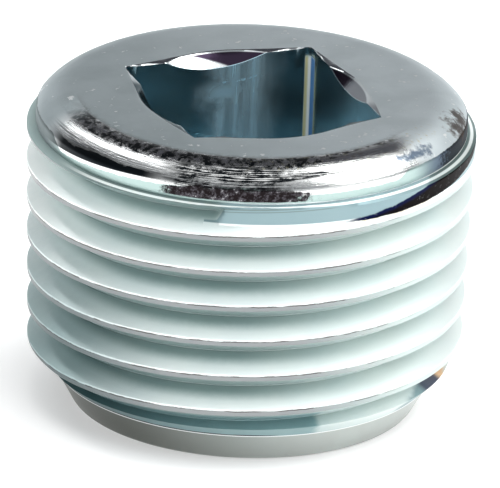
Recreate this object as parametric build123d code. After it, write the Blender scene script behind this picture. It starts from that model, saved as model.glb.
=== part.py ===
from build123d import *
import os
from math import atan, ceil, cos, degrees, radians, tan

# Headless threaded plug with a square drive socket, one solid, in millimetres.
# +Z runs along its axis, away from the foot. The foot goes into the block first and is
# what the plug stands on here, so the origin is the centre of the foot.
# Angles about +Z are counted from -Y towards +X.

# Taper pipe thread, right-handed, half inch size
inch = 25.4
threads_per_inch = 14
diameter_taper = 1 / 16            # growth of the diameter for each unit of length
foot_major_radius = 10.36          # crest radius, carried down to the plane of the foot
flank_angle = 30.0                 # each flank, from a plane across the axis
crest_flat = 0.33                  # the roots are sharp

# Heights, from the foot up
overall_length = 15.6
nose_height = 1.55                 # smooth nose below the thread
lead_height = 1.35                 # of the 45 degree chamfer that starts the thread
crown_side_height = 0.72           # upright side of the crown
crown_drop = 0.93                  # fall of the rounded shoulder
ledge_drop = 0.17                  # fall of the ledge from the crown to the thread

# Radial steps
nose_inset = 0.85                  # how much the nose narrows towards the foot
crown_step = 0.44                  # how far the crown stands inside the thread's crests
crown_round = 1.86                 # width of the rounded shoulder
foot_edge_width = 0.3              # leg of the small bevel round the foot

# End of the thread at the crown
thread_end_angle = -33.4           # where the full groove stops
run_out_angle = 45.0               # arc over which the last, shallow groove fades
run_out_depth = 0.61               # depth where the shallow groove begins
run_out_overlap = 4.0              # arc that it shares with the full groove

# Square drive socket
socket_side = 9.6                  # takes a 3/8 inch square drive
socket_corner = 0.25
socket_depth = 8.0
socket_dish_radius = 4.2           # shallow cone in the socket's floor
socket_dish_depth = 0.7
mouth_radius = 5.8                 # countersink at the socket's mouth
mouth_slope = 38.0                 # its wall, from the flat top
tool_overrun = 1.0                 # how far the socket's cutters start above the crown

# Values worked out from the sizes above
thread_pitch = inch / threads_per_inch
radius_taper = diameter_taper / 2
groove_mouth = thread_pitch - crest_flat
thread_depth = groove_mouth / 2 / tan(radians(flank_angle))
shoulder_z = overall_length - crown_drop
ledge_z = shoulder_z - crown_side_height
thread_top_z = ledge_z - ledge_drop
thread_foot_z = nose_height + lead_height
# The last groove just breaks into the ledge, and the first starts beside the nose.
groove_end_z = ledge_z - groove_mouth / 2
groove_turns = ceil((groove_end_z - nose_height + groove_mouth / 2) / thread_pitch)


def major_radius(z):
    """Radius of the thread's crests at height z."""
    return foot_major_radius + z * radius_taper


def blank():
    """The turned blank: foot, nose, lead chamfer, tapered barrel, ledge and crown."""
    nose_radius = major_radius(thread_foot_z) - lead_height
    foot_radius = nose_radius - nose_inset
    crown_radius = major_radius(thread_top_z) - crown_step
    flat_radius = crown_radius - crown_round
    shoulder = (crown_radius, shoulder_z)
    flat_edge = (flat_radius, overall_length)
    outline = Polyline(
        flat_edge,
        (0, overall_length),
        (0, 0),
        (foot_radius, 0),
        (nose_radius, nose_height),
        (major_radius(thread_foot_z), thread_foot_z),
        (major_radius(thread_top_z), thread_top_z),
        (crown_radius, ledge_z),
        shoulder,
    )
    rounding = TangentArc(flat_edge, shoulder, tangent=(1, 0))
    section = make_face(outline.edges() + rounding.edges())
    foot_corner = section.vertices().sort_by_distance((foot_radius, 0, 0))[0]
    section = chamfer(foot_corner, foot_edge_width)
    return revolve(Plane.XZ * section, Axis.Z)


def groove_section():
    """The gap between two crests, as a flat V that reaches a little past them.

    X is the distance outwards from the root, and Y runs along the plug's axis.
    """
    reach = thread_depth + crest_flat / 2
    half_mouth = reach * tan(radians(flank_angle))
    return Polygon((0, 0), (reach, -half_mouth), (reach, half_mouth), align=None)


def groove(end_z, end_angle, turns=1.0):
    """The gap between crests, swept up a conical helix to the height and angle given."""
    cone_angle = atan(radius_taper)
    rise = turns * thread_pitch
    start_z = end_z - rise
    path = Helix(
        thread_pitch / cos(cone_angle),
        rise,
        major_radius(start_z) - thread_depth,
        center=(0, 0, start_z),
        cone_angle=degrees(cone_angle),
    )
    start = Plane(origin=path @ 0, x_dir=(1, 0, 0), z_dir=path % 0)
    turned = end_angle - 90 - 360 * turns
    return Rot(0, 0, turned) * sweep(start * groove_section(), path=path, is_frenet=True)


def threaded(body):
    """Cut the thread turn by turn, from where it stops at the crown down to the nose."""
    for turn in range(groove_turns):
        body = body - groove(groove_end_z - turn * thread_pitch, thread_end_angle)
    return body


def run_out_groove():
    """The last, shallow groove, which fades out beside the end of the full one.

    Its floor is an off-centre cylinder, so its depth shrinks to nothing over the arc.
    """
    end_z = groove_end_z + run_out_angle / 360 * thread_pitch
    arc = run_out_angle + run_out_overlap
    cutter = groove(end_z, thread_end_angle + run_out_angle, arc / 360)
    surface = major_radius(thread_top_z)
    lift = run_out_depth / radians(run_out_angle)
    middle_angle = thread_end_angle + run_out_angle / 2
    floor = Pos(lift, 0, 0) * Cylinder(surface - run_out_depth / 2, 2 * overall_length)
    return cutter - Rot(0, 0, middle_angle) * floor


def drive_socket():
    """The blind square socket, with its countersunk mouth and shallow dished floor."""
    floor_z = overall_length - socket_depth
    corner = min(socket_corner, socket_side / 4)
    square = extrude(
        Pos(0, 0, floor_z) * RectangleRounded(socket_side, socket_side, corner),
        socket_depth + tool_overrun,
    )
    mouth_fall = tan(radians(mouth_slope))
    mouth = Polygon(
        (0, overall_length - mouth_radius * mouth_fall),
        (mouth_radius + tool_overrun / mouth_fall, overall_length + tool_overrun),
        (0, overall_length + tool_overrun),
        align=None,
    )
    dish = Polygon(
        (0, floor_z - socket_dish_depth),
        (socket_dish_radius, floor_z),
        (0, floor_z),
        align=None,
    )
    turned = [revolve(Plane.XZ * section, Axis.Z) for section in (mouth, dish)]
    return square + turned


def plug_body():
    """The finished plug."""
    return threaded(blank()) - run_out_groove() - drive_socket()


os.makedirs("parts", exist_ok=True)
export_step(plug_body(), "parts/plug_body.step")
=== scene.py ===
"""Zinc plated threaded pipe plug with a square drive socket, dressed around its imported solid.

Lengths are in millimetres until a mesh is written, which is in metres. Angles about the
plug's axis are in degrees from -Y towards +X, as they are on the solid.
"""

import logging
import math
from dataclasses import dataclass, field
from enum import Enum
from functools import cached_property, reduce

import bmesh
import bpy
import numpy as np
from mathutils import Matrix, Vector

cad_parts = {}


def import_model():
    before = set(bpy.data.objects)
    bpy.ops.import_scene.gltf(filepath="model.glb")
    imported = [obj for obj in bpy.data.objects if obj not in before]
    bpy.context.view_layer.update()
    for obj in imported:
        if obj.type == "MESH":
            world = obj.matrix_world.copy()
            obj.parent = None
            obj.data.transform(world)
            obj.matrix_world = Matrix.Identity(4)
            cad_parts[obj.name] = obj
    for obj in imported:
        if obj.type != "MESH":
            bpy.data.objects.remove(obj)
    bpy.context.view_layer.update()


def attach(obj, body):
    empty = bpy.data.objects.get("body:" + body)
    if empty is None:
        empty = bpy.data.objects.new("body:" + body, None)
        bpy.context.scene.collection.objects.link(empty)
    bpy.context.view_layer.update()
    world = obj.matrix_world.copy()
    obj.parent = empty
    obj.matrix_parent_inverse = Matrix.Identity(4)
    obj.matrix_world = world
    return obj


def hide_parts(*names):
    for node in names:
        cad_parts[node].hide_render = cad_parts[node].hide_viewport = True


MM = 0.001
FULL_TURN = 360.0
DEGREES = math.degrees(1.0)
NODE = "plug_body"
FRONT = -21.35  # azimuth of the camera
NOSE_Z = 1.55
LEDGE_Z = 13.95
TOP_Z = 15.6
log = logging.getLogger("plug")

Colour = tuple[float, float, float]
# Where an eased step is 0, and where it is 1.
Step = tuple[float, float]
# Where a band begins and ends, and the width of its eased edges.
Band = tuple[float, float, float]
# Scale of a noise in waves to a millimetre, its octaves, and the strength of the finer ones.
Noise = tuple[float, float, float]
# For marks round the axis: size of the circle that is read, width of a mark, and octaves.
Lathe = tuple[float, float, float]


class Zone(Enum):
    """The parts of the plug's surface that have a finish of their own."""

    NOSE = 0
    THREAD = 1
    CROWN = 2
    TOP = 3
    SOCKET = 4


def eased(share: np.ndarray) -> np.ndarray:
    """Eases 0 to 1: the squared share times three less twice the share."""
    return share * share * (3 - 2 * share)


def moved(by: float, low: float, high: float, *edge: float) -> tuple[float, ...]:
    """A step or band moved by a distance; a band's edges keep their width."""
    return (low + by, high + by, *edge)


def linked(name: str, data: bpy.types.ID) -> bpy.types.Object:
    """Makes an object and links it to the scene.

    Args:
        name: Its name.
        data: Its mesh, light or camera.

    Returns:
        The object.
    """
    made = bpy.data.objects.new(name, data)
    bpy.context.scene.collection.objects.link(made)
    return made


def facing(azimuth: float, elevation: float) -> tuple[Vector, Vector]:
    """Two directions of length one, from the sines and cosines of an azimuth and an elevation.

    Args:
        azimuth: Angle about the plug's axis, in degrees.
        elevation: Angle above the floor, in degrees.

    Returns:
        The direction out from the plug, and the level one square to it.
    """
    a, e = math.radians(azimuth), math.radians(elevation)
    ahead = Vector((math.sin(a) * math.cos(e), -math.cos(a) * math.cos(e), math.sin(e)))
    return ahead, Vector((math.cos(a), math.sin(a), 0.0))


class Ripple:
    """A smooth, seeded unevenness along an angle, which never repeats on the thread."""

    TURNS = 12  # from angle 0, either way

    def __init__(self, seed: int, wave: float, size: float) -> None:
        """Args:
            seed: Number that fixes the pattern.
            wave: Angle between two of its knots, in degrees.
            size: Its spread, in millimetres.
        """
        self.start = -self.TURNS * FULL_TURN
        self.wave = wave
        count = int(-2 * self.start / wave) + 2
        self.knots = np.random.default_rng(seed).normal(0.0, size, count)

    def at(self, angle: np.ndarray) -> np.ndarray:
        """Straight lines between the knots, eased at each knot.

        Args:
            angle: Angles in degrees, counted on from turn to turn.

        Returns:
            The height of the ripple at each angle.
        """
        place = (angle - self.start) / self.wave
        index = np.floor(place).astype(int)
        share = eased(place - index)
        return self.knots[index] * (1 - share) + self.knots[index + 1] * share


@dataclass(frozen=True)
class ThreadForm:
    """A half inch taper pipe thread, cut into a turned blank."""

    pitch: float = 25.4 / 14
    radius_taper: float = 1 / 32
    foot_major_radius: float = 10.36
    flank_angle: float = 30.0
    crest_flat: float = 0.33
    root_flat: float = 0.03
    nose_z: float = NOSE_Z
    foot_z: float = 2.90
    top_z: float = 13.78
    ledge_z: float = LEDGE_Z
    crown_step: float = 0.44
    end_angle: float = -33.4
    run_out_angle: float = 45.0
    run_out_depth: float = 0.61
    exit_arc: float = 3.0
    exit_slant: float = 5.0
    halvings: int = 40

    @property
    def slope(self) -> float:
        """Axial distance for each unit of depth on a flank."""
        return math.tan(math.radians(self.flank_angle))

    @property
    def half_mouth(self) -> float:
        """Half of the gap between two crests."""
        return (self.pitch - self.crest_flat) / 2

    @property
    def depth(self) -> float:
        """Depth of the full groove."""
        return (self.half_mouth - self.root_flat / 2) / self.slope

    @property
    def end_z(self) -> float:
        """Height where the full groove stops, so that its mouth just breaks into the ledge."""
        return self.ledge_z - self.half_mouth

    @property
    def grooves(self) -> int:
        """How many grooves one line up the side may cross, the run-out counted."""
        return math.ceil((self.end_z - self.nose_z) / self.pitch) + 2

    def major_radius(self, z: np.ndarray) -> np.ndarray:
        """Radius of the crests: the radius at the foot plus the taper times the height."""
        return self.foot_major_radius + z * self.radius_taper

    def blank_radius(self, z: np.ndarray) -> np.ndarray:
        """The turned blank: a 45 degree lead, the tapered barrel and the ledge, joined by lines.

        Args:
            z: Heights.

        Returns:
            Radius of the blank at each height.
        """
        foot, top = self.major_radius(self.foot_z), self.major_radius(self.top_z)
        heights = (self.nose_z, self.foot_z, self.top_z, self.ledge_z)
        lead = self.foot_z - self.nose_z
        return np.interp(z, heights, (foot - lead, foot, top, top - self.crown_step))

    def valley_radius(self, z: np.ndarray, centre: np.ndarray) -> np.ndarray:
        """A full groove: its root, then outwards by the axial distance over the flank's slope.

        Args:
            z: Heights.
            centre: Height of the groove's centre at each of them.

        Returns:
            Radius of the groove at each height.
        """
        off = np.maximum(np.abs(z - centre) - self.root_flat / 2, 0.0)
        return self.major_radius(centre) - self.depth + off / self.slope

    def mouth_edge(self, centre: np.ndarray, side: int) -> np.ndarray:
        """Where a full groove meets the blank, found by halving the span between centre and mouth.

        Args:
            centre: Heights of the groove's centre.
            side: -1 for the lower edge and 1 for the upper one.

        Returns:
            Heights of that edge, kept on the threaded part.
        """
        near = np.clip(centre, self.nose_z, self.ledge_z)
        far = np.clip(centre + side * (self.half_mouth + self.root_flat), self.nose_z, self.ledge_z)
        cut = self.blank_radius(near) > self.valley_radius(near, centre)
        far = np.where(cut, far, near)
        open_end = self.blank_radius(far) > self.valley_radius(far, centre)
        inside, outside = near, far
        for _ in range(self.halvings):
            middle = (inside + outside) / 2
            cut_here = self.blank_radius(middle) > self.valley_radius(middle, centre)
            inside = np.where(cut_here, middle, inside)
            outside = np.where(cut_here, outside, middle)
        return np.where(open_end, far, outside)

    def floor_radius(self, sweep: np.ndarray, groove: int, height: np.ndarray,
                     centre: np.ndarray) -> np.ndarray:
        """Floor of a groove: nothing on a full one, and an off-centre cylinder on the run-out.

        The run-out's floor rises from the full depth over a short slanted exit, and then
        its depth shrinks in proportion to the angle left.

        Args:
            sweep: Angle past the end of the full groove, 0 to 360.
            groove: -1 for the run-out, and 0 upwards for the full grooves below it.
            height: Place across the groove, -1 at its lower edge and 1 at its upper one.
            centre: Heights of the groove's centre.

        Returns:
            The smallest radius that the groove may reach at each point.
        """
        if groove >= 0:
            return np.zeros_like(centre)
        shallow = self.run_out_depth * (1 - sweep / self.run_out_angle)
        begun = (sweep - self.exit_slant * (height + 1) / 2) / self.exit_arc
        begun = eased(np.clip(begun, 0.0, 1.0))
        depth = self.depth * (1 - begun) + shallow * begun
        return self.major_radius(centre) - depth


@dataclass(frozen=True)
class ThreadRows:
    """Rows of points across the thread, which climb with its helix."""

    form: ThreadForm
    flank_steps: int = 4
    edge_ripple: Ripple = field(default_factory=lambda: Ripple(11, 2.4, 0.010))
    upper_offset: float = 3.5 * FULL_TURN

    def groove_rows(self, sweep: np.ndarray, groove: int) -> tuple[list[np.ndarray], list[np.ndarray]]:
        """One groove, from its lower edge over both flanks to its upper edge.

        Args:
            sweep: Column angles past the end of the full groove.
            groove: -1 for the run-out, and 0 upwards below it.

        Returns:
            The rows' heights and radii.
        """
        form = self.form
        centre = form.end_z - (groove + 1) * form.pitch + sweep / FULL_TURN * form.pitch
        along = sweep - groove * FULL_TURN
        low, high = form.mouth_edge(centre, -1), form.mouth_edge(centre, 1)
        open_share = np.clip((high - low) / form.half_mouth - 1.0, 0.0, 1.0)
        low = low - np.abs(self.edge_ripple.at(along)) * open_share
        high = high + np.abs(self.edge_ripple.at(along + self.upper_offset)) * open_share
        low = np.clip(low, form.nose_z, form.ledge_z)
        high = np.clip(high, form.nose_z, form.ledge_z)
        middle = np.clip(centre, low, high)
        root_low = np.clip(centre - form.root_flat / 2, low, middle)
        root_high = np.clip(centre + form.root_flat / 2, middle, high)
        steps = np.arange(self.flank_steps + 1) / (self.flank_steps + 1)
        heights = [low + (root_low - low) * share for share in steps]
        heights += [root_low, root_high]
        heights += [high - (high - root_high) * share for share in steps[::-1]]
        radii = []
        for z in heights:
            across = np.clip((z - centre) / form.half_mouth, -1.0, 1.0)
            floor = form.floor_radius(sweep, groove, across, centre)
            valley = np.maximum(form.valley_radius(z, centre), floor)
            radii.append(np.minimum(form.blank_radius(z), valley))
        radii[0] = np.where(open_share > 0, np.maximum(radii[0], form.blank_radius(low)), radii[0])
        return heights, radii

    def rows(self, sweep: np.ndarray) -> tuple[np.ndarray, np.ndarray]:
        """The whole thread, bottom up: grooves with the crests between them.

        Args:
            sweep: Column angles past the end of the full groove.

        Returns:
            Heights and radii, one row for each line of points.
        """
        form = self.form
        heights = [np.full_like(sweep, form.nose_z)]
        radii = [form.blank_radius(heights[0])]
        for groove in range(form.grooves - 2, -2, -1):
            z, r = self.groove_rows(sweep, groove)
            self.add_crest(heights, radii, z[0])
            heights += z
            radii += r
        top = np.full_like(sweep, form.ledge_z)
        self.add_crest(heights, radii, top)
        heights.append(top)
        radii.append(form.blank_radius(top))
        return np.array(heights), np.array(radii)

    def add_crest(self, heights: list[np.ndarray], radii: list[np.ndarray], upper: np.ndarray) -> None:
        """Adds the crest below a groove, with the blank's own corners where it has them.

        Args:
            heights: Heights so far, added to.
            radii: Radii so far, added to.
            upper: Heights of the crest's upper edge.
        """
        form = self.form
        lower = heights[-1]
        corner = np.clip(form.foot_z, lower, upper)
        shoulder = np.clip(form.top_z, lower, upper)
        for z in (corner, (corner + shoulder) / 2, shoulder):
            heights.append(z)
            radii.append(form.blank_radius(z))


@dataclass(frozen=True)
class NoseForm:
    """The smooth nose below the thread, and the flat foot that the plug stands on."""

    nose_z: float = NOSE_Z
    nose_radius: float = 9.1006
    inset: float = 0.85
    edge: float = 0.35
    edge_steps: int = 5
    rim: float = 0.05
    foot_shares: tuple[float, ...] = (0.0, 0.5, 0.85)
    ring_share: float = 0.6

    def rows(self) -> tuple[np.ndarray, np.ndarray]:
        """The foot from its centre, a rounded edge, and the cone up to a small rim.

        Returns:
            Heights and radii, bottom up.
        """
        foot_radius = self.nose_radius - self.inset
        lean = math.atan2(self.inset, self.nose_z)
        turn = np.linspace(0.0, math.pi / 2 - lean, self.edge_steps)
        reach = self.edge * math.tan((math.pi / 2 - lean) / 2)
        centre = foot_radius - reach
        heights = [0.0 for _ in self.foot_shares]
        radii = [foot_radius * share for share in self.foot_shares]
        heights += list(self.edge * (1 - np.cos(turn)))
        radii += list(centre + self.edge * np.sin(turn))
        for z in (self.nose_z * self.ring_share, self.nose_z - self.rim):
            heights.append(z)
            radii.append(foot_radius + z / self.nose_z * self.inset)
        return np.array(heights), np.array(radii)


@dataclass(frozen=True)
class CrownForm:
    """The smooth crown above the thread: ledge, upright side, rounded shoulder and flat top."""

    ledge_z: float = LEDGE_Z
    side_radius: float = 10.3506
    shoulder_z: float = 14.67
    top_z: float = TOP_Z
    round_width: float = 1.86
    edge: float = 0.035
    edge_lean: float = 0.4
    lip: float = 0.2
    lip_steps: int = 5
    round_steps: int = 16

    @property
    def flat_radius(self) -> float:
        """Radius where the flat top begins to round over."""
        return self.side_radius - self.round_width

    @property
    def arc_radius(self) -> float:
        """Radius of the shoulder's arc: (width squared + drop squared) over twice the drop."""
        drop = self.top_z - self.shoulder_z
        return (self.round_width**2 + drop**2) / 2 / drop

    def rows(self) -> tuple[np.ndarray, np.ndarray]:
        """The side, a small arc over its lip, then a wide arc tangent to the flat top.

        The small arc's centre lies the two radii's difference from the wide one's.

        Returns:
            Heights and radii, bottom up.
        """
        side, radius = self.side_radius, self.arc_radius
        middle_z = self.top_z - radius
        aside = self.round_width - self.lip
        above = math.sqrt((radius - self.lip) ** 2 - aside**2)
        meet = math.atan2(aside, above)
        lip = np.linspace(math.pi / 2, meet, self.lip_steps)
        turn = np.linspace(meet, 0.0, self.round_steps + 1)[1:]
        heights = [self.ledge_z, self.ledge_z + self.edge, (self.ledge_z + middle_z + above) / 2]
        radii = [side - self.edge * self.edge_lean, side, side]
        heights += list(middle_z + above + self.lip * np.cos(lip))
        radii += list(side - self.lip * (1 - np.sin(lip)))
        heights += list(middle_z + radius * np.cos(turn))
        radii += list(self.flat_radius + radius * np.sin(turn))
        return np.array(heights), np.array(radii)


@dataclass(frozen=True)
class DriveSocket:
    """The blind square socket with its countersunk mouth and dished floor."""

    side: float = 9.6
    corner: float = 0.25
    depth: float = 8.0
    dish_radius: float = 4.2
    dish_depth: float = 0.7
    mouth_radius: float = 5.8
    mouth_slope: float = 38.0
    mouth_shift: float = 0.22
    mouth_narrowing: float = 0.30
    left_steeper: float = 12.0
    lip: float = 0.10
    lip_drop: float = 0.07
    top_z: float = TOP_Z
    flat_radius: float = 8.49
    top_shares: tuple[float, ...] = (0.0, 0.2, 0.45, 0.7, 0.9)
    lip_shares: tuple[float, float] = (0.3, 0.6)
    cone_shares: tuple[float, ...] = (0.0, 0.33, 0.67)
    dish_shares: tuple[float, ...] = (0.0, 0.5, 1.0)
    wall_steps: int = 7

    def square_radius(self, angle: np.ndarray) -> np.ndarray:
        """A rounded square: half its side over the cosine, and a small circle at each corner.

        Args:
            angle: Angles about the axis in degrees.

        Returns:
            Distance from the axis to the wall at each angle.
        """
        quarter = np.radians((angle + 45.0) % 90.0 - 45.0)
        flat = self.side / 2 / np.cos(quarter)
        from_corner = np.radians((angle % 90.0) - 45.0)
        middle = (self.side / 2 - self.corner) * math.sqrt(2)
        inside = np.maximum(self.corner**2 - (middle * np.sin(from_corner)) ** 2, 0.0)
        rounded = middle * np.cos(from_corner) + np.sqrt(inside)
        round_end = math.degrees(math.atan2(self.side / 2, self.side / 2 - self.corner)) - 45.0
        near = np.abs(np.degrees(from_corner)) < round_end
        return np.where(near, np.minimum(flat, rounded), flat)

    def mouth_outline(self, angle: np.ndarray, wall: np.ndarray) -> tuple[np.ndarray, np.ndarray]:
        """The countersink's rim: a circle, with tangents to it from the square's corners.

        The circle is a little off centre, and a little narrower across X, by the squared sine
        of the angle. A tangent's radius is the circle's over the cosine of the angle from the
        point where they touch.

        Args:
            angle: Column angles in degrees.
            wall: Radius of the socket's wall at each angle.

        Returns:
            Radius of the circle and of the rim at each angle.
        """
        circle = self.mouth_radius + self.mouth_shift * np.cos(np.radians(angle - FRONT))
        circle = circle - self.mouth_narrowing * np.sin(np.radians(angle)) ** 2
        off_corner = np.radians(np.abs(angle % 90.0 - 45.0))
        reach = np.arccos(circle / (wall.max() + self.lip / 2))
        return circle, circle / np.cos(np.maximum(reach - off_corner, 0.0))

    def rows(self, angle: np.ndarray) -> tuple[np.ndarray, np.ndarray, int]:
        """From the flat top inwards, over the lip, down the countersink and the walls.

        Args:
            angle: Column angles in degrees.

        Returns:
            Heights, radii, and the number of rows that belong to the flat top.
        """
        wall = self.square_radius(angle)
        circle, mouth = self.mouth_outline(angle, wall)
        cone = np.maximum(circle - self.lip, wall)
        leftness = np.maximum(-np.sin(np.radians(angle)), 0.0)
        fall = np.tan(np.radians(self.mouth_slope + self.left_steeper * leftness))
        level = np.full_like(angle, self.top_z)
        cone_z = level - self.lip_drop
        edge_z = cone_z - (cone - wall) * fall
        floor_z = self.top_z - self.depth
        flat = self.flat_radius
        rows = [(level, flat + (mouth - flat) * share) for share in self.top_shares]
        rows.append((level, mouth))
        flat_rows = len(rows)
        down, inwards = self.lip_shares
        rows.append((level - self.lip_drop * down, mouth + (cone - mouth) * inwards))
        for share in self.cone_shares:
            rows.append((cone_z + (edge_z - cone_z) * share, cone + (wall - cone) * share))
        for step in range(self.wall_steps + 1):
            rows.append((edge_z + (floor_z - edge_z) * step / self.wall_steps, wall))
        dish = np.minimum(wall, self.dish_radius)
        for share in self.dish_shares:
            rows.append((np.full_like(angle, floor_z - self.dish_depth * share), dish * (1 - share)))
        heights, radii = zip(*rows)
        return np.array(heights), np.array(radii), flat_rows


@dataclass(frozen=True)
class PlugBody:
    """The whole plug as one closed skin, wound round the axis column by column."""

    thread: ThreadForm = field(default_factory=ThreadForm)
    nose: NoseForm = field(default_factory=NoseForm)
    crown: CrownForm = field(default_factory=CrownForm)
    socket: DriveSocket = field(default_factory=DriveSocket)
    column_step: float = 0.72
    corner_arc: float = 1.7
    corner_columns: int = 8
    sharp_angle: float = 28.0
    name: str = "threaded_plug"

    def columns(self) -> np.ndarray:
        """Column angles past the end of the groove, closer together in the socket's corners.

        Returns:
            Angles from 0 to 360, both ends in.
        """
        corners = [(45.0 + 90.0 * k - self.thread.end_angle) % FULL_TURN for k in range(4)]
        stops = [0.0]
        pieces = []
        for corner in sorted(corners):
            pieces.append((stops[-1], corner - self.corner_arc, 0))
            pieces.append((corner - self.corner_arc, corner + self.corner_arc, self.corner_columns))
            stops.append(corner + self.corner_arc)
        pieces.append((stops[-1], FULL_TURN, 0))
        spans = [np.linspace(a, b, n or math.ceil((b - a) / self.column_step), endpoint=False)
                 for a, b, n in pieces]
        return np.concatenate([*spans, [FULL_TURN]])

    def skin(self) -> tuple[np.ndarray, np.ndarray]:
        """Stacks the rows of the nose, the thread, the crown and the socket.

        Returns:
            Points in millimetres (rows, columns, 3), and the zone of each row.
        """
        sweep = self.columns()
        angle = sweep + self.thread.end_angle
        spread = np.ones_like(sweep)
        nose_z, nose_r = self.nose.rows()
        thread_z, thread_r = ThreadRows(self.thread).rows(sweep)
        crown_z, crown_r = self.crown.rows()
        socket_z, socket_r, flat_rows = self.socket.rows(angle)
        z = np.vstack([np.outer(nose_z, spread), thread_z, np.outer(crown_z, spread), socket_z])
        r = np.vstack([np.outer(nose_r, spread), thread_r, np.outer(crown_r, spread), socket_r])
        counts = (
            (Zone.NOSE, len(nose_z)),
            (Zone.THREAD, len(thread_z)),
            (Zone.CROWN, len(crown_z)),
            (Zone.TOP, flat_rows - 1),
            (Zone.SOCKET, len(socket_z) - flat_rows + 1),
        )
        zones = np.concatenate([np.full(count, zone.value) for zone, count in counts])
        turn = np.radians(angle)
        points = np.stack([r * np.sin(turn), -r * np.cos(turn), z], axis=-1)
        return points, zones

    def build(self) -> bpy.types.Object:
        """Writes the skin into a mesh: a quad between each pair of rows and columns.

        Returns:
            The plug, closed, with faces that point outwards.
        """
        points, zones = self.skin()
        rows, columns = points.shape[:2]
        index = np.arange(rows * columns).reshape(rows, columns)
        quads = np.stack([index[:-1, :-1], index[:-1, 1:], index[1:, 1:], index[1:, :-1]], axis=-1)
        face_zone = np.repeat(zones[:-1], columns - 1)
        mesh = bpy.data.meshes.new(self.name)
        mesh.from_pydata((points.reshape(-1, 3) * MM).tolist(), [], quads.reshape(-1, 4).tolist())
        mesh.polygons.foreach_set("material_index", face_zone.astype(np.int32))
        close_seams(mesh)
        mesh.shade_smooth()
        mesh.set_sharp_from_angle(angle=math.radians(self.sharp_angle))
        return linked(self.name, mesh)


def close_seams(mesh: bpy.types.Mesh, gap: float = 2e-7) -> None:
    """Merges the points that fall together at the seam and the poles.

    Args:
        mesh: Mesh to change.
        gap: Largest distance between two such points, in metres.
    """
    work = bmesh.new()
    work.from_mesh(mesh)
    bmesh.ops.remove_doubles(work, verts=work.verts, dist=gap)
    open_edges = sum(1 for edge in work.edges if not edge.is_manifold)
    log.info("open edges %d, volume %.1f mm3", open_edges, work.calc_volume(signed=True) / MM**3)
    work.to_mesh(mesh)
    work.free()


@dataclass(frozen=True)
class Wire:
    """A node's output that can be used in arithmetic."""

    graph: "Graph"
    socket: bpy.types.NodeSocket

    def __add__(self, other: "Wire | float") -> "Wire":
        """Sum."""
        return self.graph.maths("ADD", self, other)

    def __sub__(self, other: "Wire | float") -> "Wire":
        """Difference."""
        return self.graph.maths("SUBTRACT", self, other)

    def __rsub__(self, other: float) -> "Wire":
        """Difference from a number."""
        return self.graph.maths("SUBTRACT", other, self)

    def __mul__(self, other: "Wire | float") -> "Wire":
        """Product."""
        return self.graph.maths("MULTIPLY", self, other)

    def __truediv__(self, other: "Wire | float") -> "Wire":
        """Quotient."""
        return self.graph.maths("DIVIDE", self, other)

    def __pow__(self, other: float) -> "Wire":
        """Power."""
        return self.graph.maths("POWER", self, other)

    def __abs__(self) -> "Wire":
        """Distance from 0."""
        return self.graph.maths("ABSOLUTE", self)

    __radd__ = __add__
    __rmul__ = __mul__


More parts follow.
